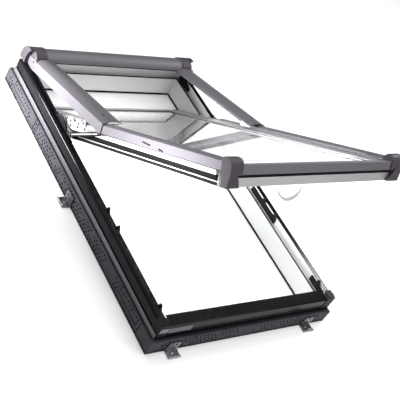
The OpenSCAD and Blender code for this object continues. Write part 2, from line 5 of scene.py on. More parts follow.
import bmesh
import bpy
from bpy.props import FloatProperty, FloatVectorProperty, PointerProperty
from mathutils import Matrix, Vector


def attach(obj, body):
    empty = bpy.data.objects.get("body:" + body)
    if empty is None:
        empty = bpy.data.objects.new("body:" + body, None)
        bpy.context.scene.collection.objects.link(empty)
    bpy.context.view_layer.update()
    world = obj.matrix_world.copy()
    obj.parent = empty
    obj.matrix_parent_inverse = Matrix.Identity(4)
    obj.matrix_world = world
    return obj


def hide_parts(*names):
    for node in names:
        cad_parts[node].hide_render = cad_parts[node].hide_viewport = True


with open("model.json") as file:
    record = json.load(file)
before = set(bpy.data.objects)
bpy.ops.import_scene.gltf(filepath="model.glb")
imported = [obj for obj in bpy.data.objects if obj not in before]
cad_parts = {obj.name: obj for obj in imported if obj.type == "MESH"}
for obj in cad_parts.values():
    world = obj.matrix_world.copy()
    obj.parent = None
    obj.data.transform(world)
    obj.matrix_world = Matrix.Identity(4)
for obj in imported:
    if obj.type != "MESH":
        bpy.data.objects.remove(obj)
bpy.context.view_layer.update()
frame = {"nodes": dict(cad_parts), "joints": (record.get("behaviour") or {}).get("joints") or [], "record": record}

bl_info = {
    "name": "Roof Window",
    "version": (1, 0, 0),
    "blender": (4, 5, 0),
    "location": "View3D > Sidebar > Roof Window",
    "description": "Finishes, fittings and stage for a high-pivot roof window",
    "category": "Object",
}

MM = 0.001
SLOT_OF = {s["node"]: s["material_slot"] for s in frame["record"]["subparts"]}
JOINTS = {j["name"]: j for j in frame["joints"]}
PIVOT = Vector(JOINTS["sash_pivot"]["pos_m"])
OPEN_ANGLE = math.radians(-JOINTS["sash_pivot"]["range_deg"][0])
ARM_PIVOT = Vector(JOINTS["cover_lift"]["pos_m"])
ARM_ANGLE = OPEN_ANGLE * next(c["ratio"] for c in frame["record"]["behaviour"]["couplings"]
                              if c["joint"] == "cover_lift")
STAY_PIVOT = Vector(JOINTS["stay_swing"]["pos_m"])
SIDES = {"left": -1, "right": 1}


def turn_about(pivot, angle):
    """The move that lifts a closed piece by an angle about a pivot along X."""
    return Matrix.Translation(pivot) @ Matrix.Rotation(-angle, 4, "X") @ Matrix.Translation(-pivot)


OPEN_SASH = turn_about(PIVOT, OPEN_ANGLE)
OPEN_ARMS = turn_about(ARM_PIVOT, ARM_ANGLE)


def extent(node, lift=None):
    """Lowest and highest corners of a CAD node in mm, taken back to its closed place when a lift is given."""
    back = lift.inverted() if lift else Matrix.Identity(4)
    points = [back @ v.co / MM for v in frame["nodes"][node].data.vertices]
    return [Vector([pick(p[k] for p in points) for k in range(3)]) for pick in (min, max)]


# ---------------------------------------------------------------- colours and nodes

def linear(colour, alpha=1.0):
    """An sRGB hex colour as linear RGBA."""
    parts = [int(colour[i:i + 2], 16) / 255 for i in (1, 3, 5)]
    return tuple(c / 12.92 if c <= 0.04045 else ((c + 0.055) / 1.055) ** 2.4 for c in parts) + (alpha,)


def tone(colour, factor):
    """A colour made darker or lighter."""
    return tuple(min(1.0, c * factor) for c in colour[:3]) + (1.0,)


def add(tree, kind, settings=None, links=None):
    """Adds a node; a setting named like an input sets that input, any other sets the node itself."""
    node = tree.nodes.new(kind)
    for key, value in (settings or {}).items():
        if isinstance(key, int) or key in node.inputs:
            node.inputs[key].default_value = value
        else:
            setattr(node, key, value)
    for key, source in (links or {}).items():
        tree.links.new(source, node.inputs[key])
    return node


def surface(name, colour, settings):
    """A new material: its node tree and its Principled shader."""
    material = bpy.data.materials.new(name)
    material.use_nodes = True
    tree = material.node_tree
    shader = tree.nodes["Principled BSDF"]
    shader.inputs["Base Color"].default_value = tone(colour, 1)
    for key, value in settings.items():
        shader.inputs[key].default_value = value
    return material, tree, shader


def pattern_space(tree, size=(1.0, 1.0, 1.0)):
    """Object coordinates divided by a size in metres along each axis."""
    place = add(tree, "ShaderNodeTexCoord")
    scale = [1 / s for s in size]
    scaled = add(tree, "ShaderNodeMapping", {"Scale": scale}, {"Vector": place.outputs["Object"]})
    return scaled.outputs["Vector"]


def shade(tree, shader, factor, dark, light, low=0.0, high=1.0):
    """Colours the shader between two tones as a pattern goes from low to high."""
    ramp = add(tree, "ShaderNodeMapRange", {"From Min": low, "From Max": high}, {"Value": factor})
    mix = add(tree, "ShaderNodeMix", {"data_type": "RGBA", 6: dark, 7: light}, {0: ramp.outputs["Result"]})
    tree.links.new(mix.outputs[2], shader.inputs["Base Color"])


def rough(tree, shader, factor, low, high):
    """Varies the roughness between two values with a pattern."""
    ramp = add(tree, "ShaderNodeMapRange", {"To Min": low, "To Max": high}, {"Value": factor})
    tree.links.new(ramp.outputs["Result"], shader.inputs["Roughness"])


def bump(tree, shader, height, depth, strength=1.0):
    """Raises the surface by a pattern; depth is in metres."""
    node = add(tree, "ShaderNodeBump", {"Strength": strength, "Distance": depth}, {"Height": height})
    tree.links.new(node.outputs["Normal"], shader.inputs["Normal"])


# ---------------------------------------------------------------- finishes

def moulded_foam(colour):
    """Expanded polystyrene, steam-moulded: matt, with the faint cells of its 4 mm beads."""
    material, tree, shader = surface("moulded_polystyrene_foam", colour,
                                     {"Roughness": 0.8, "Specular IOR Level": 0.3})
    beads = add(tree, "ShaderNodeTexVoronoi", {"feature": "F1", "Scale": 1.0, "Randomness": 0.9},
                {"Vector": pattern_space(tree, (4 * MM,) * 3)})
    clouds = add(tree, "ShaderNodeTexNoise", {"Scale": 1.0, "Detail": 3.0},
                 {"Vector": pattern_space(tree, (60 * MM,) * 3)})
    blend = add(tree, "ShaderNodeMath", {"operation": "MULTIPLY_ADD", 1: 0.35},
                {0: beads.outputs["Distance"], 2: clouds.outputs["Fac"]})
    shade(tree, shader, blend.outputs[0], tone(colour, 0.72), tone(colour, 1.3), 0.35, 0.95)
    # painted shade: an ambient occlusion mask mixes a near-black into the base colour in deep places, so the pits
    # read dark
    body = shader.inputs["Base Color"].links[0].from_socket
    painted_pit_shade_ao = add(tree, "ShaderNodeAmbientOcclusion", {"samples": 6, "Distance": 20 * MM})
    depth = add(tree, "ShaderNodeMath", {"operation": "POWER", 1: 4.0}, {0: painted_pit_shade_ao.outputs["AO"]})
    pits = add(tree, "ShaderNodeMix", {"data_type": "RGBA", 6: tone(colour, 0.08)},
               {0: depth.outputs[0], 7: body})
    tree.links.new(pits.outputs[2], shader.inputs["Base Color"])
    bump(tree, shader, beads.outputs["Distance"], 0.35 * MM, 0.6)
    return material


def extruded_pvc(colour):
    """Rigid white PVC, extruded: a soft gloss with very faint lines left by the die."""
    material, tree, shader = surface("extruded_white_pvc", colour, {"Roughness": 0.3, "IOR": 1.53})
    lines = add(tree, "ShaderNodeTexNoise", {"Scale": 1.0, "Detail": 2.0},
                {"Vector": pattern_space(tree, (6 * MM, 90 * MM, 6 * MM))})
    shade(tree, shader, lines.outputs["Fac"], tone(colour, 0.95), tone(colour, 1.03), 0.3, 0.7)
    rough(tree, shader, lines.outputs["Fac"], 0.26, 0.36)
    return material


def black_powder_coat(colour):
    """Aluminium sheet under black polyester powder: satin, with a fine orange peel."""
    material, tree, shader = surface("black_powder_coated_sheet", colour,
                                     {"Roughness": 0.2, "IOR": 1.5, "Specular IOR Level": 0.1})
    peel = add(tree, "ShaderNodeTexNoise", {"Scale": 1.0, "Detail": 1.0},
               {"Vector": pattern_space(tree, (2.5 * MM,) * 3)})
    shade(tree, shader, peel.outputs["Fac"], tone(colour, 0.7), tone(colour, 1.4), 0.3, 0.7)
    rough(tree, shader, peel.outputs["Fac"], 0.15, 0.24)
    bump(tree, shader, peel.outputs["Fac"], 0.03 * MM, 0.3)
    return material


def metallic_grey_coat(colour):
    """Aluminium under metallic grey powder: flakes give a quiet sparkle and a broad soft highlight."""
    material, tree, shader = surface("metallic_grey_powder_coat", colour,
                                     {"Metallic": 0.3, "Roughness": 0.45, "Specular IOR Level": 0.35})
    flakes = add(tree, "ShaderNodeTexVoronoi", {"feature": "F1", "Scale": 1.0},
                 {"Vector": pattern_space(tree, (1.2 * MM,) * 3)})
    shade(tree, shader, flakes.outputs["Distance"], tone(colour, 1.12), tone(colour, 0.86), 0.1, 0.8)
    rough(tree, shader, flakes.outputs["Distance"], 0.38, 0.5)
    return material


def grained_plastic(colour):
    """ASA caps, moulded in a spark-eroded tool: a fine even grain that scatters the light."""
    material, tree, shader = surface("grained_dark_grey_asa", colour,
                                     {"Roughness": 0.5, "IOR": 1.5, "Specular IOR Level": 0.3})
    grain = add(tree, "ShaderNodeTexNoise", {"Scale": 1.0, "Detail": 2.0},
                {"Vector": pattern_space(tree, (0.8 * MM,) * 3)})
    shade(tree, shader, grain.outputs["Fac"], tone(colour, 0.82), tone(colour, 1.2), 0.3, 0.7)
    bump(tree, shader, grain.outputs["Fac"], 0.08 * MM, 0.7)
    return material


def black_nylon(colour):
    """Glass-filled black nylon, moulded: dark, with cloudy patches of gloss."""
    material, tree, shader = surface("moulded_black_nylon", colour,
                                     {"Roughness": 0.42, "IOR": 1.53, "Specular IOR Level": 0.12})
    clouds = add(tree, "ShaderNodeTexNoise", {"Scale": 1.0, "Detail": 4.0},
                 {"Vector": pattern_space(tree, (5 * MM,) * 3)})
    rough(tree, shader, clouds.outputs["Fac"], 0.32, 0.58)
    bump(tree, shader, clouds.outputs["Fac"], 0.05 * MM, 0.4)
    return material


def seal_rubber(colour):
    """EPDM rubber, extruded: matt black with a grey bloom on the worn ridges."""
    material, tree, shader = surface("extruded_epdm_rubber", colour,
                                     {"Roughness": 0.7, "IOR": 1.52, "Specular IOR Level": 0.15})
    bloom = add(tree, "ShaderNodeTexNoise", {"Scale": 1.0, "Detail": 3.0},
                {"Vector": pattern_space(tree, (5 * MM, 40 * MM, 5 * MM))})
    shade(tree, shader, bloom.outputs["Fac"], tone(colour, 0.7), tone(colour, 1.8), 0.35, 0.75)
    return material


def satin_aluminium(colour):
    """Mill-finish aluminium, satin anodised: bright, with long fine drawing lines."""
    material, tree, shader = surface("satin_anodised_aluminium", colour, {"Metallic": 0.8, "Roughness": 0.32})
    lines = add(tree, "ShaderNodeTexNoise", {"Scale": 1.0, "Detail": 3.0},
                {"Vector": pattern_space(tree, (120 * MM, 1.5 * MM, 1.5 * MM))})
    shade(tree, shader, lines.outputs["Fac"], tone(colour, 0.9), tone(colour, 1.08), 0.3, 0.7)
    rough(tree, shader, lines.outputs["Fac"], 0.26, 0.4)
    return material


def galvanised_steel(colour):
    """Steel in bright zinc: small crystal spangles, each with its own gloss."""
    material, tree, shader = surface("bright_galvanised_steel", colour, {"Metallic": 1.0, "Roughness": 0.3})
    spangle = add(tree, "ShaderNodeTexVoronoi", {"feature": "F1", "Scale": 1.0},
                  {"Vector": pattern_space(tree, (5 * MM,) * 3)})
    grey = add(tree, "ShaderNodeRGBToBW", {}, {"Color": spangle.outputs["Color"]})
    shade(tree, shader, grey.outputs[0], tone(colour, 0.8), tone(colour, 1.15), 0.2, 0.8)
    rough(tree, shader, grey.outputs[0], 0.2, 0.42)
    return material


def coated_hinge_steel(colour):
    """Pressed steel under white epoxy: a hard bright skin with a slight peel."""
    material, tree, shader = surface("white_epoxy_coated_steel", colour, {"Roughness": 0.28, "IOR": 1.5})
    peel = add(tree, "ShaderNodeTexNoise", {"Scale": 1.0, "Detail": 2.0},
               {"Vector": pattern_space(tree, (3 * MM,) * 3)})
    shade(tree, shader, peel.outputs["Fac"], tone(colour, 0.94), tone(colour, 1.03), 0.3, 0.7)
    bump(tree, shader, peel.outputs["Fac"], 0.04 * MM, 0.4)
    return material


def float_glass(colour):
    """Clear float glass: all but colourless face on; lamps pass through it to what lies behind."""
    material, tree, shader = surface("clear_float_glass", colour,
                                     {"Transmission Weight": 1.0, "Roughness": 0.0, "IOR": 1.45})
    clear = add(tree, "ShaderNodeBsdfTransparent", {"Color": tone(colour, 1)})
    path = add(tree, "ShaderNodeLightPath")
    mix = add(tree, "ShaderNodeMixShader", {}, {0: path.outputs["Is Shadow Ray"], 1: shader.outputs[0],
                                               2: clear.outputs[0]})
    tree.links.new(mix.outputs[0], tree.nodes["Material Output"].inputs["Surface"])
    return material


FINISHES = {
    "foam": moulded_foam,
    "white_pvc": extruded_pvc,
    "black_cladding": black_powder_coat,
    "grey_cladding": metallic_grey_coat,
    "dark_grey_plastic": grained_plastic,
    "black_plastic": black_nylon,
    "rubber": seal_rubber,
    "bare_aluminium": satin_aluminium,
    "zinc": galvanised_steel,
    "hinge_steel": coated_hinge_steel,
    "glass": float_glass,
}
made = {}


def finish(slot):
    """The material of a slot, made once in the colour set for it."""
    if slot not in made:
        made[slot] = FINISHES[slot](getattr(bpy.context.scene.roof_window_colours, slot))
    return made[slot]


def dress(*names):
    """Gives CAD nodes their finish through their own material slots."""
    for name in names:
        cad = frame["nodes"][name]
        if not cad.material_slots:
            cad.data.materials.append(None)
        for slot in cad.material_slots:
            slot.material = finish(SLOT_OF[name])


# ---------------------------------------------------------------- shaping

def new_piece(name, bm, body, slot, lift=None, side=1, stands_for=()):
    """Turns a shape drawn in mm on the right-hand side into a piece that rides on a body."""
    grow = Matrix.Diagonal((side * MM, MM, MM, 1))
    bmesh.ops.transform(bm, matrix=lift @ grow if lift else grow, verts=bm.verts)
    bmesh.ops.recalc_face_normals(bm, faces=bm.faces)
    mesh = bpy.data.meshes.new(name)
    bm.to_mesh(mesh)
    bm.free()
    piece = bpy.data.objects.new(name, mesh)
    bpy.context.scene.collection.objects.link(piece)
    mesh.materials.append(finish(slot))
    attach(piece, body)
    if stands_for:
        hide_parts(*stands_for)
    return piece


def bar(bm, section, x0, x1):
    """A closed bar along X from the (y, z) points of its section."""
    face = bm.faces.new([bm.verts.new((x0, y, z)) for y, z in section])
    grown = bmesh.ops.extrude_face_region(bm, geom=[face])["geom"]
    tips = [g for g in grown if isinstance(g, bmesh.types.BMVert)]
    bmesh.ops.translate(bm, verts=tips, vec=(x1 - x0, 0, 0))
    return list(face.verts) + tips


def box_section(y0, y1, z0, z1):
    """A rectangle as the (y, z) points of a bar's section."""
    return [(y0, z0), (y1, z0), (y1, z1), (y0, z1)]


def round_edges(bm, width, segments=2, angle=40, verts=None):
    """Rounds the sharp edges of a shape, or those between some of its vertices."""
    inside = set(verts or bm.verts)
    sharp = [e for e in bm.edges if e.is_manifold and e.calc_face_angle() > math.radians(angle)
             and inside.issuperset(e.verts)]
    bmesh.ops.bevel(bm, geom=sharp, offset=width, offset_type="OFFSET", segments=segments, profile=0.5,
                    affect="EDGES", clamp_overlap=True, material=-1)


def turned(bm, outline, centre, axis, steps=20):
    """A turned shape: (distance along the axis, radius) points spun about an axis through a centre."""
    axis, centre = Vector(axis).normalized(), Vector(centre)
    across = axis.orthogonal().normalized()
    verts = [bm.verts.new(centre + axis * a + across * r) for a, r in outline]
    edges = [bm.edges.new(pair) for pair in zip(verts, verts[1:])]
    old = set(bm.verts) - set(verts)
    bmesh.ops.spin(bm, geom=verts + edges, cent=centre, axis=axis, angle=2 * math.pi, steps=steps,
                   use_merge=True, use_duplicate=False)
    bmesh.ops.remove_doubles(bm, verts=[v for v in bm.verts if v not in old], dist=0.001)


def loft(bm, stations):
    """A closed shape through (x, section) stations whose sections have as many points each."""
    rings = []
    for x, section in stations:
        verts = [bm.verts.new((x, y, z)) for y, z in section]
        rings.append((verts, [bm.edges.new((a, b)) for a, b in zip(verts, verts[1:] + verts[:1])]))
    for (_, lower), (_, upper) in zip(rings, rings[1:]):
        bmesh.ops.bridge_loops(bm, edges=lower + upper)
    bm.faces.new(rings[0][0])
    bm.faces.new(rings[-1][0])


def pan_head(bm, centre, axis, radius, height):
    """A screw's pan head with a cross recess cut into its dome."""
    outline = [(0, radius), (height * 0.45, radius), (height * 0.8, radius * 0.82), (height, radius * 0.45),
               (height, radius * 0.3), (height * 0.5, radius * 0.22), (height * 0.45, 0)]
    turned(bm, [(0, 0)] + outline, centre, axis, steps=16)


# ---------------------------------------------------------------- insulation collar

PIT_ROWS = 4         # rows of the pits' grid over a collar bar's face
BARE_END = 16        # mm without pits at each end of a bar
EMPTY_SHARE = 0.14   # share of the places that hold no pit
PIT_DEPTH = 7.5      # mm
PIT_CORNER = 0.27    # corner of a pit's mouth as a share of its size
GROOVE_HALF = 1.7    # mm, half the width of a joint's groove
GROOVE_DEPTH = 5.0   # mm
ON_LINE = 0.05       # mm within which a point counts as on a joint


class Joints:
    """Moulded joints of a collar bar, in mm from its start and rows of its grid."""
    def __init__(self, uprights=(), runs=(), smooth=()):
        self.uprights = uprights   # (place, lower row, upper row)
        self.runs = runs           # (from, to, row)
        self.smooth = smooth       # (from, to) without pits


def pitted_bar(bm, length, collar, joints, chance):
    """A moulded bar along X, its outer face at y = width with staggered pits and joint lines."""
    width = collar.width / MM
    edge = collar.edge / MM
    height = collar.height / MM
    face_h = height - edge
    rows = PIT_ROWS
    columns = max(4, round(length / (collar.pit_pitch / MM / 2)))
    step, rise = length / columns, face_h / rows
    bmesh.ops.create_grid(bm, x_segments=columns, y_segments=rows, size=1)
    place = Matrix(((length / 2, 0, 0, length / 2), (0, 0, 0, width),
                    (0, face_h / 2, 0, face_h / 2), (0, 0, 0, 1)))
    bmesh.ops.transform(bm, matrix=place, verts=bm.verts)
    bm.normal_update()
    bm.faces.ensure_lookup_table()
    if bm.faces[0].normal.y < 0:
        bmesh.ops.reverse_faces(bm, faces=bm.faces)
    at = {(round(v.co.x / step), round(v.co.z / rise)): v for v in bm.verts}
    lines = []
    for where, low, high in joints.uprights:
        i = round(where / step)
        lines += [(at[i, j], at[i, j + 1]) for j in range(low, high)]
    for start, end, row in joints.runs:
        lines += [(at[i, row], at[i + 1, row]) for i in range(round(start / step), round(end / step))]
    touched = {v for pair in lines for v in pair}
    pits = []
    for face in bm.faces:
        middle = face.calc_center_median()
        i, j = int(middle.x / step), int(middle.z / rise)
        bare = (middle.x < BARE_END or middle.x > length - BARE_END
                or any(a < middle.x < b for a, b in joints.smooth))
        if ((i + j) % 2 == 0 and not bare and not touched.intersection(face.verts)
                and chance.random() > EMPTY_SHARE):
            pits.append(face)
    creases = [bm.edges.get(pair) for pair in lines]
    marks = [(a.co.copy(), b.co.copy()) for a, b in lines]
    if creases:
        bmesh.ops.bevel(bm, geom=creases, offset=GROOVE_HALF, offset_type="OFFSET", segments=2, profile=0.5,
                        affect="EDGES", clamp_overlap=True, material=-1)
        for v in bm.verts:
            for a, b in marks:
                t = max(0.0, min(1.0, (v.co - a).dot(b - a) / (b - a).length_squared))
                if (v.co - a.lerp(b, t)).length < ON_LINE:
                    v.co.y -= GROOVE_DEPTH
                    break
    pits = [f for f in pits if f.is_valid]
    bmesh.ops.inset_individual(bm, faces=pits, thickness=0.3, depth=0, use_even_offset=True)
    size = collar.pit_size / MM
    for face in pits:
        middle = face.calc_center_median()
        shift = Vector((chance.uniform(-0.5, 0.5), 0, chance.uniform(-2.2, 2.2)))
        half = size * chance.uniform(0.85, 1.1) / 2
        for v in face.verts:
            out = v.co - middle
            v.co = middle + shift + Vector((math.copysign(min(half, step / 2 - 0.4), out.x), 0,
                                            math.copysign(half, out.z)))
    corners = list({v for f in pits for v in f.verts})
    bmesh.ops.bevel(bm, geom=corners, offset=size * PIT_CORNER, offset_type="OFFSET", segments=1, profile=0.5,
                    affect="VERTICES", clamp_overlap=True, material=-1)
    mouths = [f for f in bm.faces if len(f.verts) == 8 and f.calc_area() > size * size * 0.5]
    bmesh.ops.inset_individual(bm, faces=mouths, thickness=0.3, depth=-PIT_DEPTH, use_even_offset=True)
    for depth, lift in ((edge, edge), (width - edge, 0)):
        rim = [e for e in bm.edges if e.is_boundary]
        grown = bmesh.ops.extrude_edge_only(bm, edges=rim)["geom"]
        verts = [g for g in grown if isinstance(g, bmesh.types.BMVert)]
        top = max(v.co.z for v in verts)
        for v in verts:
            v.co.y -= depth
            if v.co.z > top - 0.01:
                v.co.z += lift
    bmesh.ops.holes_fill(bm, edges=[e for e in bm.edges if e.is_boundary], sides=0)


COLLAR_JOINTS = {
    "left": Joints(uprights=((73, 2, 4), (272, 0, 4), (295, 0, 4), (998, 2, 4), (1122, 2, 4),
                             (1134, 0, 4)),
                   runs=((73, 201, 2), (998, 1122, 2)),
                   smooth=((0, 30), (230, 262), (885, 955), (1134, 1210))),
    "right": Joints(uprights=((73, 2, 4), (272, 0, 4), (295, 0, 4), (998, 2, 4), (1134, 0, 4)),
                    runs=((73, 201, 2), (998, 1122, 2)), smooth=((0, 30), (885, 955), (1134, 1210))),
    "bottom": Joints(uprights=((150, 0, 4), (590, 0, 4)), smooth=((0, 30), (340, 400), (710, 740))),
    "top": Joints(uprights=((150, 0, 4), (590, 0, 4)), smooth=((0, 30), (340, 400), (710, 740))),
}


def lay_collar():
    """Lays the four pitted bars round the frame."""
    collar = bpy.context.scene.roof_window_collar
    low, high = extent("collar_left")
    ends_low, ends_high = extent("collar_bottom")
    inner = -high.x
    places = {
        "left": ((-inner, high.y), (0, -1), (-1, 0), high.y - low.y),
        "right": ((inner, high.y), (0, -1), (1, 0), high.y - low.y),
        "bottom": ((ends_low.x, ends_high.y), (1, 0), (0, -1), ends_high.x - ends_low.x),
        "top": ((ends_low.x, -ends_high.y), (1, 0), (0, 1), ends_high.x - ends_low.x),
    }
    chance = random.Random(7)
    for name, (start, along, out, length) in places.items():
        bm = bmesh.new()
        pitted_bar(bm, length, collar, COLLAR_JOINTS[name], chance)
        turn = Matrix(((along[0], out[0], 0, start[0]), (along[1], out[1], 0, start[1]),
                       (0, 0, 1, 0), (0, 0, 0, 1)))
        bmesh.ops.transform(bm, matrix=turn, verts=bm.verts)
        new_piece("pitted_collar_" + name, bm, "root", "foam", stands_for=("collar_" + name,))


# ---------------------------------------------------------------- hood ends

SLEEVE = 45           # outer radius of the sleeves in mm
SLEEVE_BORE = 41.3    # radius that clears the hood
SLEEVE_INSIDE = 43.2  # inner radius of the sleeve's wall
COVER = 42.5          # radius of the plate that closes the end
SLEEVE_FRONT = math.radians(138.2)
SLEEVE_BACK = math.radians(25)


def fit_hood_sleeves():
    """Sleeves over the hood's ends, each closed by a thin plate."""
    wall = bpy.context.scene.roof_window_sizes.sleeve_wall / MM
    low, high = extent("hood_cap_right")
    axis_y, axis_z = high.y - SLEEVE, high.z - SLEEVE
    base_z = low.z
    for name, side in SIDES.items():
        bm = bmesh.new()
        section = [(low.x, SLEEVE_BORE), (low.x, 44.2), (low.x + 0.8, SLEEVE), (high.x - wall * 0.6, SLEEVE),
                   (high.x, SLEEVE - wall * 0.8), (high.x, 40), (high.x - 0.7, 40),
                   (high.x - 1.4, SLEEVE_INSIDE), (low.x + 3, SLEEVE_INSIDE), (low.x + 3, SLEEVE_BORE)]
        spoke = Vector((0, math.cos(SLEEVE_FRONT), math.sin(SLEEVE_FRONT)))
        verts = [bm.verts.new(Vector((x, axis_y, axis_z)) + spoke * r) for x, r in section]
        face = bm.faces.new(verts)
        bmesh.ops.spin(bm, geom=[face] + list(face.edges) + verts, cent=(0, axis_y, axis_z), axis=(1, 0, 0),
                       angle=-(SLEEVE_FRONT + SLEEVE_BACK), steps=40, use_duplicate=False)
        bmesh.ops.bisect_plane(bm, geom=list(bm.verts) + list(bm.edges) + list(bm.faces),
                               plane_co=(0, 0, base_z + 0.3), plane_no=(0, 0, 1), clear_inner=True)
        bmesh.ops.holes_fill(bm, edges=[e for e in bm.edges if e.is_boundary], sides=0)
        rim = [(axis_y + COVER * math.cos(a), axis_z + COVER * math.sin(a))
               for a in (math.radians(d) for d in range(124, -20, -8))]
        cover = [(533, 141), (533, rim[0][1])] + rim + [(rim[-1][0], base_z + 1), (550, base_z + 1)]
        bar(bm, cover, high.x - 0.75, high.x - 0.05)
        new_piece("hood_sleeve_" + name, bm, "root", "dark_grey_plastic", side=side,
                  stands_for=("hood_cap_" + name,))


# ---------------------------------------------------------------- lower edge of the sash

CAP_CENTRE = (-606, 148)   # (y, z) of the dome's axis in mm
CAP_BACK = -588.5          # y of the cap's back


def cap_outline(radius, low):
    """Section of a cap's dome: an arc over the front edge on a flat foot."""
    y, z = CAP_CENTRE
    start = math.degrees(math.acos((CAP_BACK - y) / radius))
    dome = [(y + radius * math.cos(math.radians(a)), z + radius * math.sin(math.radians(a)))
            for a in (start + (180 - start) * i / 16 for i in range(17))]
    return dome + [(y - radius * 0.9, 128), (y - radius * 0.72, low), (CAP_BACK - 2, low),
                   (CAP_BACK, low + 2)]


def fit_end_caps():
    """Domed caps of the sash's lower edge, each with a cheek cut along a leaning seam."""
    sizes = bpy.context.scene.roof_window_sizes
    low, high = extent("end_cap_right", OPEN_SASH)
    inner, outer = low.x - 9.5, high.x - 6
    foot = low.z + 1
    y, z = CAP_CENTRE
    for name, side in SIDES.items():
        bm = bmesh.new()
        loft(bm, [(inner, cap_outline(18.2, 122.5)), (inner + 1.5, cap_outline(19.6, 121.5)),
                  (inner + 4.5, cap_outline(21.4, 121)), (inner + 9, cap_outline(22.4, 120.6)),
                  (inner + 16, cap_outline(22.6, 120.5)), (outer - 9, cap_outline(22.6, 120.5))])
        dome = [(y + 23.4 * math.cos(math.radians(a)), z + 22.9 * math.sin(math.radians(a)))
                for a in range(48, 181, 12)]
        cheek = dome + [(-629, 125), (-618.5, foot + 2), (-617, foot), (-595, foot), (-593.4, foot + 2),
                        (-593.4, 119), (CAP_BACK, 121), (CAP_BACK, 160)]
        verts = bar(bm, cheek, inner + 1, outer)
        cheek_edges = [e for e in bm.edges if e.verts[0] in verts and e.verts[1] in verts]
        faces = [f for f in bm.faces if all(v in verts for v in f.verts)]
        seam = Vector((sizes.seam_shift / MM, 0, z + 20 - foot))
        bmesh.ops.bisect_plane(bm, geom=verts + cheek_edges + faces, plane_co=(inner + 1.2, 0, foot),
                               plane_no=(-seam.z, 0, seam.x), clear_outer=True)
        bmesh.ops.holes_fill(bm, edges=[e for e in bm.edges if e.is_boundary], sides=0)
        round_edges(bm, 1.6, 3, angle=50)
        new_piece("domed_end_cap_" + name, bm, "sash", "dark_grey_plastic", OPEN_SASH, side,
                  ("end_cap_" + name,))


def fit_front_shadow_strip():
    """Black seal in the joint between the two tiers of the lower edge."""
    tier_low, tier_high = extent("front_clad", OPEN_SASH)
    strip_low, strip_high = extent("front_strip", OPEN_SASH)
    bm = bmesh.new()
    y, z = strip_low.y - 1.0, strip_high.z - 2.6
    bar(bm, [(y, z), (y + 10, z), (y + 10, z + 7.6), (y + 8, z + 9.2), (y + 2, z + 9.2), (y, z + 8)],
        tier_low.x + 1, tier_high.x - 1)
    new_piece("front_seal", bm, "sash", "rubber", OPEN_SASH)


# ---------------------------------------------------------------- fixings and fittings

def fit_arm_edges():
    """Black lips closing the arms' lower ends."""
    low, high = extent("arm_right", OPEN_ARMS)
    top = low.z + 36.4
    for name, side in SIDES.items():
        bm = bmesh.new()
        bar(bm, box_section(low.y - 1.8, low.y + 0.6, low.z + 2, top), high.x - 1.6, high.x + 0.2)
        bar(bm, box_section(low.y - 1.8, low.y + 0.6, top - 1.8, top), high.x - 62, high.x - 3)
        new_piece("arm_lip_" + name, bm, "cover_arms", "black_plastic", OPEN_ARMS, side)


BRACKET_SCREW = 13   # mm from a bracket's middle to each of its screws


def fit_screws():
    """Pan-head screws of the cover arms and of the roof brackets."""
    low, high = extent("arm_screws", OPEN_ARMS)
    y, x = (low.y + high.y) / 2, high.x - 3.5
    for name, side in SIDES.items():
        bm = bmesh.new()
        pan_head(bm, (x, y, low.z + 0.2), (0.05, 0, 1), 3.5, 2.0)
        new_piece("arm_screw_" + name, bm, "cover_arms", "black_plastic", OPEN_ARMS, side,
                  ("arm_screws",) if side > 0 else ())
    bm = bmesh.new()
    for node in frame["nodes"]:
        if not node.startswith("roof_bracket"):
            continue
        a, b = extent(node)
        middle = (a + b) / 2
        across, out = (0, 1) if abs(middle.y) > abs(middle.x) else (1, 0)
        sign = math.copysign(1, middle[out])
        face = (a[out] if sign > 0 else b[out]) + sign * 3
        for shift in (-BRACKET_SCREW, BRACKET_SCREW):
            centre = [0, 0, 28]
            centre[across], centre[out] = middle[across] + shift, face
            direction = [0, 0, 0]
            direction[out] = sign
            pan_head(bm, centre, direction, 5.5, 3.0)
    new_piece("bracket_pan_screws", bm, "root", "zinc", stands_for=("bracket_screws",))


STUD_CLOSED = Vector((0, 21.9, 123.5))   # place of the stays' studs on the closed sash, in mm
CHANNEL_HALF = 7.2                       # half height of a stay's channel in mm
SLIDE_HALF = 2.1                         # half height of the bright slide in it


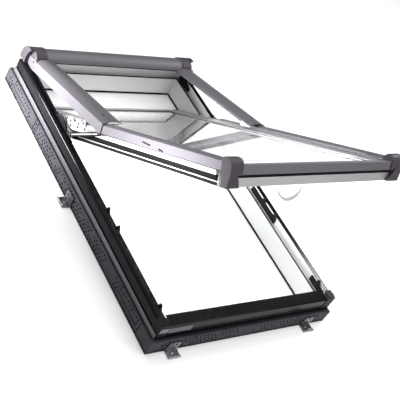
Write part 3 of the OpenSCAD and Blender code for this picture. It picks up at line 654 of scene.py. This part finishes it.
def fit_stays():
    """Black channels of the stays, with a stud at the sash and a bright slide in two lengths."""
    high = extent("stay_right")[1]
    pivot = STAY_PIVOT / MM
    far = OPEN_SASH @ (STUD_CLOSED * MM) / MM
    reach = Vector((0, far.y - pivot.y, far.z - pivot.z))
    length = reach.length
    turn = math.atan2(reach.z, -reach.y)
    x0, x1 = high.x - 3.5, high.x
    for name, side in SIDES.items():
        bm = bmesh.new()
        ends = [(math.cos(math.radians(a)) * CHANNEL_HALF, math.sin(math.radians(a)) * CHANNEL_HALF)
                for a in range(-90, 91, 15)]
        outline = [(y, z) for y, z in ends] + [(-length - y, -z) for y, z in ends]
        bar(bm, outline, x0 + 0.05, x1)
        round_edges(bm, 0.5, 1)
        pose = Matrix.Translation((0, pivot.y, pivot.z)) @ Matrix.Rotation(-turn, 4, "X")
        turned(bm, [(0, 0), (0, 3.5), (5.6, 3.5), (5.6, 0)], (x0 - 5.3, -length, 0), (1, 0, 0))
        bmesh.ops.transform(bm, matrix=pose, verts=bm.verts)
        new_piece("stay_channel_" + name, bm, "stays", "black_plastic", side=side,
                  stands_for=("stay_" + name,))
        bm = bmesh.new()
        for start, end in ((-12, -length * 0.76), (-length * 0.78, -length + 12)):
            bar(bm, [(start, -SLIDE_HALF), (start, SLIDE_HALF), (end, SLIDE_HALF), (end, -SLIDE_HALF)],
                x1 - 1.2, x1 + 0.35)
        round_edges(bm, 0.3, 1)
        bmesh.ops.transform(bm, matrix=pose, verts=bm.verts)
        new_piece("stay_slide_" + name, bm, "stays", "bare_aluminium", side=side)


def fit_hinge_details():
    """Rivets of the hinge plates, the pivots' covers and the springs beside them."""
    pivot = PIVOT / MM
    plate_high = extent("sash_hinge_right", OPEN_SASH)[1]
    for name, side in SIDES.items():
        bm = bmesh.new()
        for dy, dz in ((-16, 14), (-40, -8), (-84, -8), (-118, 10), (-128, -8), (-60, 16), (-108, 17)):
            turned(bm, [(0, 0), (0, 3.2), (0.9, 3.2), (1.4, 2.2), (1.4, 0)],
                   (plate_high.x - 0.1, pivot.y + dy, pivot.z + dz), (1, 0, 0), 14)
        new_piece("hinge_rivets_" + name, bm, "sash", "black_plastic", OPEN_SASH, side)
        bm = bmesh.new()
        cover = [(214, 117), (290, 117), (292, 121), (278, 131), (262, 138), (240, 138), (222, 130),
                 (212, 122)]
        bar(bm, cover, 347.6, 349.4)
        turned(bm, [(0, 0), (0, 8), (2.2, 8), (2.9, 6.5), (2.9, 0)], (347.6, pivot.y, pivot.z), (1, 0, 0), 24)
        new_piece("pivot_cover_" + name, bm, "root", "black_plastic", side=side)
        bm = bmesh.new()
        ring = [(math.cos(math.radians(a)) * 1.3, 6.2 + math.sin(math.radians(a)) * 1.3)
                for a in range(0, 361, 45)]
        turned(bm, ring, (347.5, 296, 123.5), (1, 0, 0.25), 20)
        turned(bm, ring, (347.2, 289, 124.5), (1, 0, -0.2), 20)
        new_piece("hinge_spring_" + name, bm, "root", "black_plastic", side=side)


def fit_keeper_parts():
    """Bolts and knobs of the keeper strips."""
    high = extent("keepers")[1]
    x = high.x - 1.5
    for name, side in SIDES.items():
        bm = bmesh.new()
        for y in (-76, -112, -176, -198, -496, -545):
            pan_head(bm, (x, y, 99), (-1, 0, 0), 3.6, 2.2)
        for y in (-136, -213, -519):
            turned(bm, [(0, 0), (0, 2.6), (3, 2.6), (3, 0)], (x + 0.2, y, 112), (-1, 0, 0), 16)
        new_piece("keeper_bolts_" + name, bm, "root", "zinc", side=side)
        bm = bmesh.new()
        turned(bm, [(0, 0), (0, 4.5), (3, 5), (6, 4.4), (7, 2.6), (7, 0)], (high.x - 3, -517, 116.5),
               (0, 0, 1), 20)
        new_piece("keeper_knob_" + name, bm, "root", "black_plastic", side=side)


def fit_skirts():
    """Folded skirts under the frame cladding: grey down the sides, black at the ends."""
    low, high = extent("frame_clad_right")
    bottom = extent("collar_right")[1].z + 0.2
    x, top = high.x, low.z + 10
    side_low, side_high = extent("frame_right")
    for name, side in SIDES.items():
        bm = bmesh.new()
        bar(bm, [(side_low.y, bottom), (side_high.y, bottom), (side_high.y, top), (side_low.y, top)],
            x + 0.1, x + 1.3)
        round_edges(bm, 0.4, 2)
        # the grey finish paints the highlight of the lit lip on the black cladding
        new_piece("side_skirt_" + name, bm, "root", "grey_cladding", side=side)
    bm = bmesh.new()
    y, sill = extent("frame_bottom")[0].y, extent("sill_clad")[0].z
    bar(bm, [(y - 1.3, bottom), (y - 0.1, bottom), (y - 0.1, sill - 0.2), (y - 1.3, sill - 0.2)], -x, x)
    bar(bm, [(-y + 0.1, bottom), (1.3 - y, bottom), (1.3 - y, low.z + 0.5), (-y + 0.1, low.z + 0.5)], -x, x)
    new_piece("end_skirts", bm, "root", "black_cladding")


def fit_sash_seals():
    """Thin seals along the sash's sides and the lock slots in its cladding."""
    low, high = extent("sash_seal_right", OPEN_SASH)
    clad_low, clad_high = extent("sash_clad_right", OPEN_SASH)
    x = clad_high.x
    for name, side in SIDES.items():
        bm = bmesh.new()
        bar(bm, box_section(low.y, high.y - 5, low.z - 13.5, low.z - 4), low.x - 0.1, low.x + 2.2)
        bar(bm, box_section(clad_low.y + 2, clad_high.y - 2, clad_low.z - 1.2, clad_low.z + 1.2),
            x - 1.8, x + 0.3)
        new_piece("sash_side_seal_" + name, bm, "sash", "rubber", OPEN_SASH, side)
        # thin black plates in place of cut slots: painted shade of the openings
        bm = bmesh.new()
        for y0, z0, y1, z1 in ((-218, 141, -254, 137), (-298, 133, -318, 131)):
            middle, half = Vector((y0 + y1, z0 + z1)) / 2, Vector((y1 - y0, z1 - z0)) / 2
            tilt = math.atan2(half.y, half.x)
            outline = []
            for k in range(12):
                a = math.radians(30 * k + 15)
                end = half if math.cos(a) > 0 else -half
                outline.append((middle.x + end.x + 2.6 * math.cos(a + tilt),
                                middle.y + end.y + 2.6 * math.sin(a + tilt)))
            bar(bm, outline, x - 0.2, x + 0.35)
        new_piece("lock_slots_" + name, bm, "sash", "black_plastic", OPEN_SASH, side)


def fit_frame_lines():
    """The thin seal round the room-side edge and the parts on the sill."""
    foot_low = extent("frame_bottom")[0]
    x, y = extent("frame_right")[0].x, -foot_low.y - 40
    bm = bmesh.new()
    for sign in (-1, 1):
        bar(bm, box_section(0.6 - y, y - 0.6, 1, 8), sign * (x + 0.3), sign * (x - 2.2))
        bar(bm, box_section(sign * (y + 0.3), sign * (y - 2.2), 1, 8), -x, x)
    new_piece("room_edge_seal", bm, "root", "rubber")
    corner = extent("corner_cap_right")
    front = corner[0].y
    bm = bmesh.new()
    bar(bm, [(front - 0.9, 82), (front + 0.2, 82), (front + 0.2, 101), (front - 0.3, 101.6),
             (front - 0.9, 100.5)],
        corner[1].x - 33, corner[1].x - 3)
    round_edges(bm, 0.4, 2)
    new_piece("corner_clip", bm, "root", "zinc", side=-1)
    bm = bmesh.new()
    bar(bm, [(front - 0.4, 77), (front + 1.7, 77), (front + 1.7, 99), (front + 0.6, 100),
             (front - 0.4, 98.4)], 245, 335)
    round_edges(bm, 0.4, 2)
    new_piece("sill_strip", bm, "root", "grey_cladding", side=-1)
    for name, side in SIDES.items():
        bm = bmesh.new()
        for a, b in (((340, -583), (366, -562)), ((340, -562), (366, -583))):
            ridge = Vector((b[0] - a[0], b[1] - a[1], 0))
            verts = bar(bm, box_section(-1.2, 1.2, 0, 2.2), 0, ridge.length)
            turn = (Matrix.Translation((a[0], a[1], corner[1].z - 2.3))
                    @ Matrix.Rotation(math.atan2(ridge.y, ridge.x), 4, "Z"))
            bmesh.ops.transform(bm, matrix=turn, verts=verts)
        new_piece("corner_ribs_" + name, bm, "root", "black_plastic", side=side)


# ---------------------------------------------------------------- stage

LAMPS = [
    # name, place, aim, width and height, power, spread in degrees
    ("top_light", (0.2, 0.2, 4.0), (0.2, 0.2, 0), (6, 6), 215, 180),
    ("key_light", (-0.92, 0.66, 0.2), (-0.37, 0.41, 0.16), (0.3, 0.15), 4.6, 70),
    ("side_light", (-1.75, -0.3, 0.2), (-0.35, -0.2, 0.44), (0.3, 0.15), 4.2, 30),
    ("back_light", (2.4, 0.45, 1.8), (0.2, -0.4, 0.1), (0.4, 0.4), 22, 180),
    ("front_light", (1.1, -2.1, 1.2), (0.0, -0.3, 0.5), (0.8, 0.8), 8, 180),
]


FLOOR_HALF = 8       # metres from the middle of the floor to its edge
FLOOR_GLOW = 0.14    # lifts the floor to an even pale tone
CAMERA_PLACE = (-1.906, -1.637, 1.936)
CAMERA_RIGHT = Vector((0.77078, -0.45086, 0.45015))
CAMERA_UP = Vector((0.04478, 0.74314, 0.66764))
CAMERA_BACK = -Vector((0.63553, 0.49444, -0.59298))


def build_stage(scene, stage):
    """Pale floor, soft lights and the camera; the backdrop looks white and lights at the ambient strength."""
    bm = bmesh.new()
    bmesh.ops.create_grid(bm, x_segments=1, y_segments=1, size=FLOOR_HALF)
    bmesh.ops.translate(bm, verts=bm.verts, vec=(0, 0, -0.5 * MM))
    mesh = bpy.data.meshes.new("floor")
    bm.to_mesh(mesh)
    bm.free()
    floor = bpy.data.objects.new("floor", mesh)
    scene.collection.objects.link(floor)
    material = surface("pale_floor", stage.floor_colour,
                       {"Roughness": 0.95, "Specular IOR Level": 0.0, "Emission Color": (1, 1, 1, 1),
                        "Emission Strength": FLOOR_GLOW})[0]
    mesh.materials.append(material)
    scene.view_settings.view_transform = "Standard"
    world = bpy.data.worlds.new("studio")
    scene.world = world
    world.use_nodes = True
    sky = world.node_tree.nodes["Background"]
    sky.inputs["Color"].default_value = (1, 1, 1, 1)
    path = add(world.node_tree, "ShaderNodeLightPath")
    seen = add(world.node_tree, "ShaderNodeMapRange", {"To Min": stage.ambient, "To Max": 1.0},
               {"Value": path.outputs["Is Camera Ray"]})
    world.node_tree.links.new(seen.outputs["Result"], sky.inputs["Strength"])
    for name, place, aim, size, power, spread in LAMPS:
        data = bpy.data.lights.new(name, "AREA")
        data.shape = "RECTANGLE"
        data.size, data.size_y = size
        data.energy = power * stage.lamp_strength
        data.spread = math.radians(spread)
        lamp = bpy.data.objects.new(name, data)
        lamp.location = place
        lamp.rotation_euler = (Vector(aim) - Vector(place)).to_track_quat("-Z", "Y").to_euler()
        lamp.visible_camera = False
        scene.collection.objects.link(lamp)
    data = bpy.data.cameras.new("camera")
    data.lens = stage.lens
    data.sensor_width = 36
    camera = bpy.data.objects.new("camera", data)
    turn = Matrix((CAMERA_RIGHT, CAMERA_UP, CAMERA_BACK)).transposed().to_4x4()
    camera.matrix_world = Matrix.Translation(CAMERA_PLACE) @ turn
    scene.collection.objects.link(camera)
    scene.camera = camera


# ---------------------------------------------------------------- settings, operators and panel

def colour(name, description, value):
    """A colour setting whose default is an sRGB hex colour."""
    return FloatVectorProperty(name=name, description=description, subtype="COLOR", size=4, min=0, max=1,
                               default=linear(value))


class RoofWindowColours(bpy.types.PropertyGroup):
    """Colours of the finishes."""
    foam: colour("Collar", "Colour of the insulation collar", "#413f45")
    white_pvc: colour("PVC", "Colour of the frame and sash profiles", "#e4e4e3")
    black_cladding: colour("Frame cladding", "Colour of the frame's aluminium sheet", "#0d0c10")
    grey_cladding: colour("Sash cladding", "Colour of the hood, arms and sash cladding", "#6c696f")
    dark_grey_plastic: colour("Caps", "Colour of the moulded caps", "#443f47")
    black_plastic: colour("Fittings", "Colour of the black plastic fittings", "#101012")
    rubber: colour("Seals", "Colour of the rubber seals", "#0c0c0d")
    bare_aluminium: colour("Bare aluminium", "Colour of the beads and strips", "#c9c7ca")
    zinc: colour("Zinc", "Colour of the galvanised parts", "#85888c")
    hinge_steel: colour("Hinge plates", "Colour of the coated hinge plates", "#8a8a8c")
    glass: colour("Glass", "Tint of the panes", "#fbfcfc")


class RoofWindowCollar(bpy.types.PropertyGroup):
    """Sizes of the insulation collar and its pits."""
    width: FloatProperty(name="Width", description="Width of the collar", unit="LENGTH", default=15 * MM)
    height: FloatProperty(name="Height", description="Height of the collar", unit="LENGTH",
                          default=55 * MM)
    edge: FloatProperty(name="Edge", description="Sloped upper edge", unit="LENGTH", default=4 * MM)
    pit_pitch: FloatProperty(name="Pit spacing", description="Distance between the pits of a row",
                             unit="LENGTH", default=15 * MM)
    pit_size: FloatProperty(name="Pit size", description="Width of a pit's mouth", unit="LENGTH",
                            default=6.6 * MM)


class RoofWindowSizes(bpy.types.PropertyGroup):
    """Sizes of the caps and sleeves."""
    sleeve_wall: FloatProperty(name="Sleeve edge", description="Sloped edge of the hood's end sleeves",
                               unit="LENGTH", default=3 * MM)
    seam_shift: FloatProperty(name="Cap seam",
                              description="How far the seam of the end caps leans over the height",
                              unit="LENGTH", default=36 * MM)


class RoofWindowStage(bpy.types.PropertyGroup):
    """Camera, lights and floor."""
    lens: FloatProperty(name="Lens", description="Focal length of the camera", default=79.875,
                        subtype="DISTANCE_CAMERA")
    ambient: FloatProperty(name="Ambient", description="Strength of the even light", default=0.15)
    lamp_strength: FloatProperty(name="Lamps", description="Strength of all lamps together", default=1.0)
    floor_colour: colour("Floor", "Colour of the floor", "#ffffff")


def operator(idname, label, doc, build):
    """An operator class for one piece or group of like pieces."""
    def execute(self, context):
        build(context)
        return {"FINISHED"}
    name = "ROOFWINDOW_OT_" + idname
    return type(name, (bpy.types.Operator,), {"__doc__": doc, "bl_idname": "roofwindow." + idname,
                                              "bl_label": label, "execute": execute})


OPERATORS = [
    operator("stage", "Stage", "Set up the floor, lights and camera",
             lambda context: build_stage(context.scene, context.scene.roof_window_stage)),
    operator("dress", "Finishes", "Give every packed part its finish",
             lambda context: dress(*frame["nodes"])),
    operator("collar", "Collar", "Lay the pitted insulation collar", lambda context: lay_collar()),
    operator("hood_sleeves", "Hood sleeves", "Fit the sleeves at the hood's ends",
             lambda context: fit_hood_sleeves()),
    operator("end_caps", "End caps", "Fit the domed caps of the sash's lower edge",
             lambda context: fit_end_caps()),
    # the front seal is a black strip put where the tiers' joint lies in shade: painted shadow
    operator("front_seal", "Front seal", "Fit the seal between the two tiers",
             lambda context: fit_front_shadow_strip()),
    operator("screws", "Screws", "Fit the screws of the arms and brackets",
             lambda context: fit_screws()),
    operator("arm_edges", "Arm edges", "Fit the lips at the arms' lower ends",
             lambda context: fit_arm_edges()),
    operator("stays", "Stays", "Fit the stays' channels and slides", lambda context: fit_stays()),
    operator("hinges", "Hinge details", "Fit the rivets, covers and springs",
             lambda context: fit_hinge_details()),
    operator("keepers", "Keeper details", "Fit the bolts and knobs of the keepers",
             lambda context: fit_keeper_parts()),
    operator("skirts", "Skirts", "Fit the folded skirts under the cladding",
             lambda context: fit_skirts()),
    operator("sash_seals", "Sash seals", "Fit the seals and slots of the sash's sides",
             lambda context: fit_sash_seals()),
    operator("frame_lines", "Frame lines", "Fit the edge seal and the sill's fittings",
             lambda context: fit_frame_lines()),
]


class ROOFWINDOW_PT_panel(bpy.types.Panel):
    """Sizes, colours and build steps of the roof window"""
    bl_label = "Roof Window"
    bl_space_type = "VIEW_3D"
    bl_region_type = "UI"
    bl_category = "Roof Window"

    def draw(self, context):
        for group in ("colours", "collar", "sizes", "stage"):
            settings = getattr(context.scene, "roof_window_" + group)
            for key in settings.bl_rna.properties.keys():
                if key not in ("rna_type", "name"):
                    self.layout.prop(settings, key)
        for cls in OPERATORS:
            self.layout.operator(cls.bl_idname)


GROUPS = {"colours": RoofWindowColours, "collar": RoofWindowCollar, "sizes": RoofWindowSizes,
          "stage": RoofWindowStage}
CLASSES = [*GROUPS.values(), *OPERATORS, ROOFWINDOW_PT_panel]


def register():
    """Registers the classes and hangs the settings on the scene."""
    for cls in CLASSES:
        bpy.utils.register_class(cls)
    for name, cls in GROUPS.items():
        setattr(bpy.types.Scene, "roof_window_" + name, PointerProperty(type=cls))


def unregister():
    """Takes the settings and classes away again."""
    for name in GROUPS:
        delattr(bpy.types.Scene, "roof_window_" + name)
    for cls in reversed(CLASSES):
        bpy.utils.unregister_class(cls)


def main():
    """Builds every piece in order and notes the boxes of the packed and of the finished model."""
    register()
    for cls in OPERATORS:
        group, name = cls.bl_idname.split(".")
        getattr(getattr(bpy.ops, group), name)()


if __name__ == "__main__":
    main()
